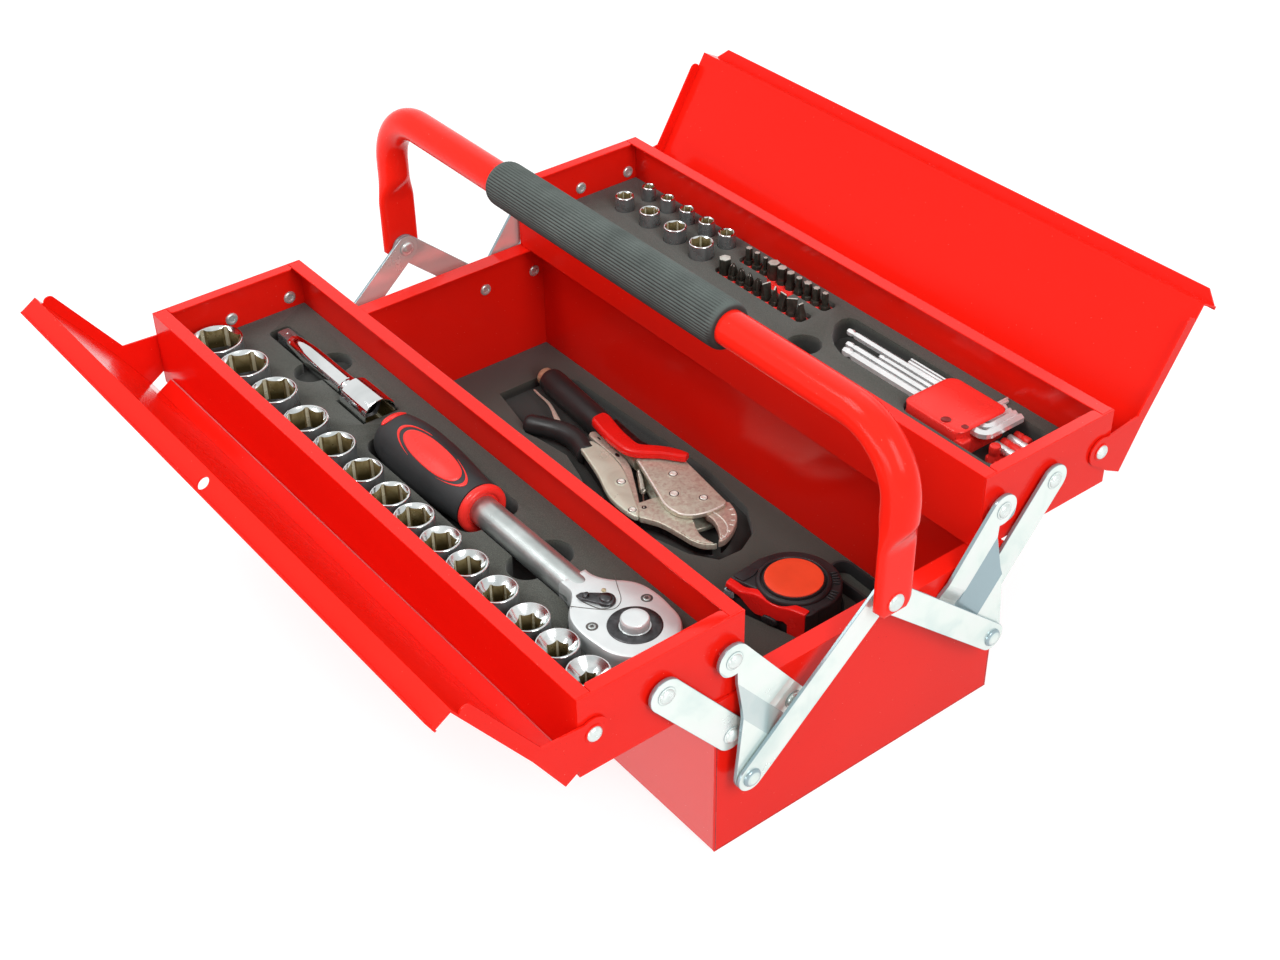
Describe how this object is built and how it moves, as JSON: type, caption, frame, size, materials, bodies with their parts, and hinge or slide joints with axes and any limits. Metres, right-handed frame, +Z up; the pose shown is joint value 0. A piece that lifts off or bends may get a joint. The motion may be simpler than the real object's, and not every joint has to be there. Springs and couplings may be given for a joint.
{
  "type": "cantilever tool box",
  "caption": "Cantilever tool box in red sheet steel with lidded swing-out trays on plated straps, a lifting handle with a foam grip, and hand tools seated in foam",
  "frame": {"origin": "middle of the box's underside, on the floor it stands on", "axes": "+Z up; +Y and -Y are the ways the two trays swing out; +X is along the box towards its right end"},
  "size_m": [0.4528, 0.4892, 0.2265],
  "materials": {
    "red_paint": "gloss",
    "foam": "matte",
    "rivet_steel": "satin",
    "zinc_steel": "satin",
    "grip_foam": "matte",
    "socket_chrome": "polished",
    "ratchet_steel": "satin",
    "tool_rubber": "satin",
    "red_plastic": "gloss",
    "dark_steel": "satin",
    "brass": "satin",
    "nickel_steel": "satin",
    "tape_rubber": "matte",
    "webbing": "matte",
    "bit_steel": "satin",
    "key_chrome": "polished"
  },
  "bodies": {
    "box": {"box_body": "red_paint", "box_end_right": "red_paint", "box_end_left": "red_paint", "box_rivets": "rivet_steel", "box_foam": "foam", "pliers_fixed_handle": "nickel_steel", "pliers_moving_handle": "nickel_steel", "pliers_fixed_jaw": "nickel_steel", "pliers_moving_jaw": "nickel_steel", "pliers_grips": "tool_rubber", "pliers_release": "red_plastic", "pliers_screw": "brass", "tape_case": "tape_rubber", "tape_bumper": "red_plastic", "tape_label": "red_plastic", "tape_hook": "rivet_steel", "tape_strap": "webbing"},
    "front_tray": {"front_tray_body": "red_paint", "front_tray_end_right": "red_paint", "front_tray_end_left": "red_paint", "front_tray_rivets": "rivet_steel", "front_tray_foam": "foam", "large_sockets": "socket_chrome", "plug_socket": "socket_chrome", "extension_bar": "socket_chrome", "ratchet_body": "ratchet_steel", "ratchet_grip": "tool_rubber", "ratchet_trim": "red_plastic", "ratchet_cover": "dark_steel"},
    "rear_tray": {"rear_tray_body": "red_paint", "rear_tray_end_right": "red_paint", "rear_tray_end_left": "red_paint", "rear_tray_rivets": "rivet_steel", "rear_tray_foam": "foam", "small_sockets": "socket_chrome", "bit_holders": "red_plastic", "driver_bits": "bit_steel", "hex_holder": "red_plastic", "hex_keys": "key_chrome"},
    "front_lid": {"front_lid": "red_paint"},
    "rear_lid": {"rear_lid": "red_paint"},
    "handle": {"handle_tube": "red_paint", "handle_grip": "grip_foam", "handle_rivets": "rivet_steel"},
    "ratchet_lever": {"ratchet_lever": "dark_steel"},
    "ratchet_button": {"ratchet_button": "ratchet_steel"},
    "tape_lock": {"tape_lock": "tape_rubber"},
    "front_crank_right": {"front_crank_right": "zinc_steel"},
    "front_tray_link_right": {"front_tray_link_right": "zinc_steel"},
    "front_lift_link_right": {"front_lift_link_right": "zinc_steel"},
    "front_crank_left": {"front_crank_left": "zinc_steel"},
    "front_tray_link_left": {"front_tray_link_left": "zinc_steel"},
    "front_lift_link_left": {"front_lift_link_left": "zinc_steel"},
    "rear_crank_right": {"rear_crank_right": "zinc_steel"},
    "rear_tray_link_right": {"rear_tray_link_right": "zinc_steel"},
    "rear_lift_link_right": {"rear_lift_link_right": "zinc_steel"},
    "rear_crank_left": {"rear_crank_left": "zinc_steel"},
    "rear_tray_link_left": {"rear_tray_link_left": "zinc_steel"},
    "rear_lift_link_left": {"rear_lift_link_left": "zinc_steel"}
  },
  "joints": [
    {"name": "front_tray_swing", "type": "hinge", "parent": "box", "child": "front_crank_right", "pos_m": [0.201, -0.0491, 0.0773], "axis": [1, 0, 0], "range_deg": [-77.96, 0]},
    {"name": "front_crank_left_turn", "type": "hinge", "parent": "box", "child": "front_crank_left", "pos_m": [-0.201, -0.0491, 0.0773], "axis": [1, 0, 0], "range_deg": [-77.96, 0]},
    {"name": "front_tray_level", "type": "hinge", "parent": "front_crank_right", "child": "front_tray", "pos_m": [0.201, -0.0877, 0.125], "axis": [1, 0, 0], "range_deg": [0, 77.96]},
    {"name": "front_tray_link_right_turn", "type": "hinge", "parent": "box", "child": "front_tray_link_right", "pos_m": [0.201, -0.0873, 0.0773], "axis": [1, 0, 0], "range_deg": [-77.96, 0]},
    {"name": "front_tray_link_left_turn", "type": "hinge", "parent": "box", "child": "front_tray_link_left", "pos_m": [-0.201, -0.0873, 0.0773], "axis": [1, 0, 0], "range_deg": [-77.96, 0]},
    {"name": "rear_crank_right_turn", "type": "hinge", "parent": "box", "child": "rear_crank_right", "pos_m": [0.201, 0.0491, 0.0773], "axis": [1, 0, 0], "range_deg": [0, 77.96]},
    {"name": "rear_crank_left_turn", "type": "hinge", "parent": "box", "child": "rear_crank_left", "pos_m": [-0.201, 0.0491, 0.0773], "axis": [1, 0, 0], "range_deg": [0, 77.96]},
    {"name": "rear_tray_level", "type": "hinge", "parent": "rear_crank_right", "child": "rear_tray", "pos_m": [0.201, 0.0877, 0.125], "axis": [1, 0, 0], "range_deg": [-77.96, 0]},
    {"name": "rear_tray_link_right_turn", "type": "hinge", "parent": "box", "child": "rear_tray_link_right", "pos_m": [0.201, 0.0873, 0.0773], "axis": [1, 0, 0], "range_deg": [0, 77.96]},
    {"name": "rear_tray_link_left_turn", "type": "hinge", "parent": "box", "child": "rear_tray_link_left", "pos_m": [-0.201, 0.0873, 0.0773], "axis": [1, 0, 0], "range_deg": [0, 77.96]},
    {"name": "handle_lift", "type": "slide", "parent": "box", "child": "handle", "axis": [0, 0, 1], "range_m": [0, 0.05065]},
    {"name": "front_lift_link_right_turn", "type": "hinge", "parent": "handle", "child": "front_lift_link_right", "pos_m": [0.214, 0, 0.1215], "axis": [1, 0, 0], "range_deg": [-0.809, 0]},
    {"name": "rear_lift_link_right_turn", "type": "hinge", "parent": "handle", "child": "rear_lift_link_right", "pos_m": [0.214, 0, 0.1215], "axis": [1, 0, 0], "range_deg": [0, 0.809]},
    {"name": "front_lift_link_left_turn", "type": "hinge", "parent": "handle", "child": "front_lift_link_left", "pos_m": [-0.214, 0, 0.1215], "axis": [1, 0, 0], "range_deg": [-0.809, 0]},
    {"name": "rear_lift_link_left_turn", "type": "hinge", "parent": "handle", "child": "rear_lift_link_left", "pos_m": [-0.214, 0, 0.1215], "axis": [1, 0, 0], "range_deg": [0, 0.809]},
    {"name": "front_lid_swing", "type": "hinge", "parent": "front_tray", "child": "front_lid", "pos_m": [0, -0.1642, 0.124], "axis": [1, 0, 0], "range_deg": [-122.4, 0]},
    {"name": "rear_lid_swing", "type": "hinge", "parent": "rear_tray", "child": "rear_lid", "pos_m": [0, 0.1642, 0.124], "axis": [1, 0, 0], "range_deg": [0, 118]},
    {"name": "direction_lever", "type": "hinge", "parent": "front_tray", "child": "ratchet_lever", "pos_m": [0.139, -0.1099, 0.1283], "axis": [0, 0, 1], "range_deg": [-76, 0]},
    {"name": "release_button", "type": "slide", "parent": "front_tray", "child": "ratchet_button", "axis": [0, 0, 1], "range_m": [-0.0025, 0], "stiffness_N_per_m": 400},
    {"name": "blade_lock", "type": "slide", "parent": "box", "child": "tape_lock", "axis": [0.9613, 0.2756, 0], "range_m": [-0.006, 0]}
  ],
  "couplings": [
    {"joint": "front_crank_left_turn", "follows": "front_tray_swing", "ratio": 1},
    {"joint": "front_tray_level", "follows": "front_tray_swing", "ratio": -1},
    {"joint": "front_tray_link_right_turn", "follows": "front_tray_swing", "ratio": 1},
    {"joint": "front_tray_link_left_turn", "follows": "front_tray_swing", "ratio": 1},
    {"joint": "rear_crank_right_turn", "follows": "front_tray_swing", "ratio": -1},
    {"joint": "rear_crank_left_turn", "follows": "front_tray_swing", "ratio": -1},
    {"joint": "rear_tray_level", "follows": "front_tray_swing", "ratio": 1},
    {"joint": "rear_tray_link_right_turn", "follows": "front_tray_swing", "ratio": -1},
    {"joint": "rear_tray_link_left_turn", "follows": "front_tray_swing", "ratio": -1},
    {"joint": "handle_lift", "follows": "front_tray_swing", "m_per_rad": -0.037216},
    {"joint": "front_lift_link_right_turn", "follows": "front_tray_swing", "ratio": 0.01035},
    {"joint": "rear_lift_link_right_turn", "follows": "front_tray_swing", "ratio": -0.01035},
    {"joint": "front_lift_link_left_turn", "follows": "front_tray_swing", "ratio": 0.01035},
    {"joint": "rear_lift_link_left_turn", "follows": "front_tray_swing", "ratio": -0.01035}
  ]
}
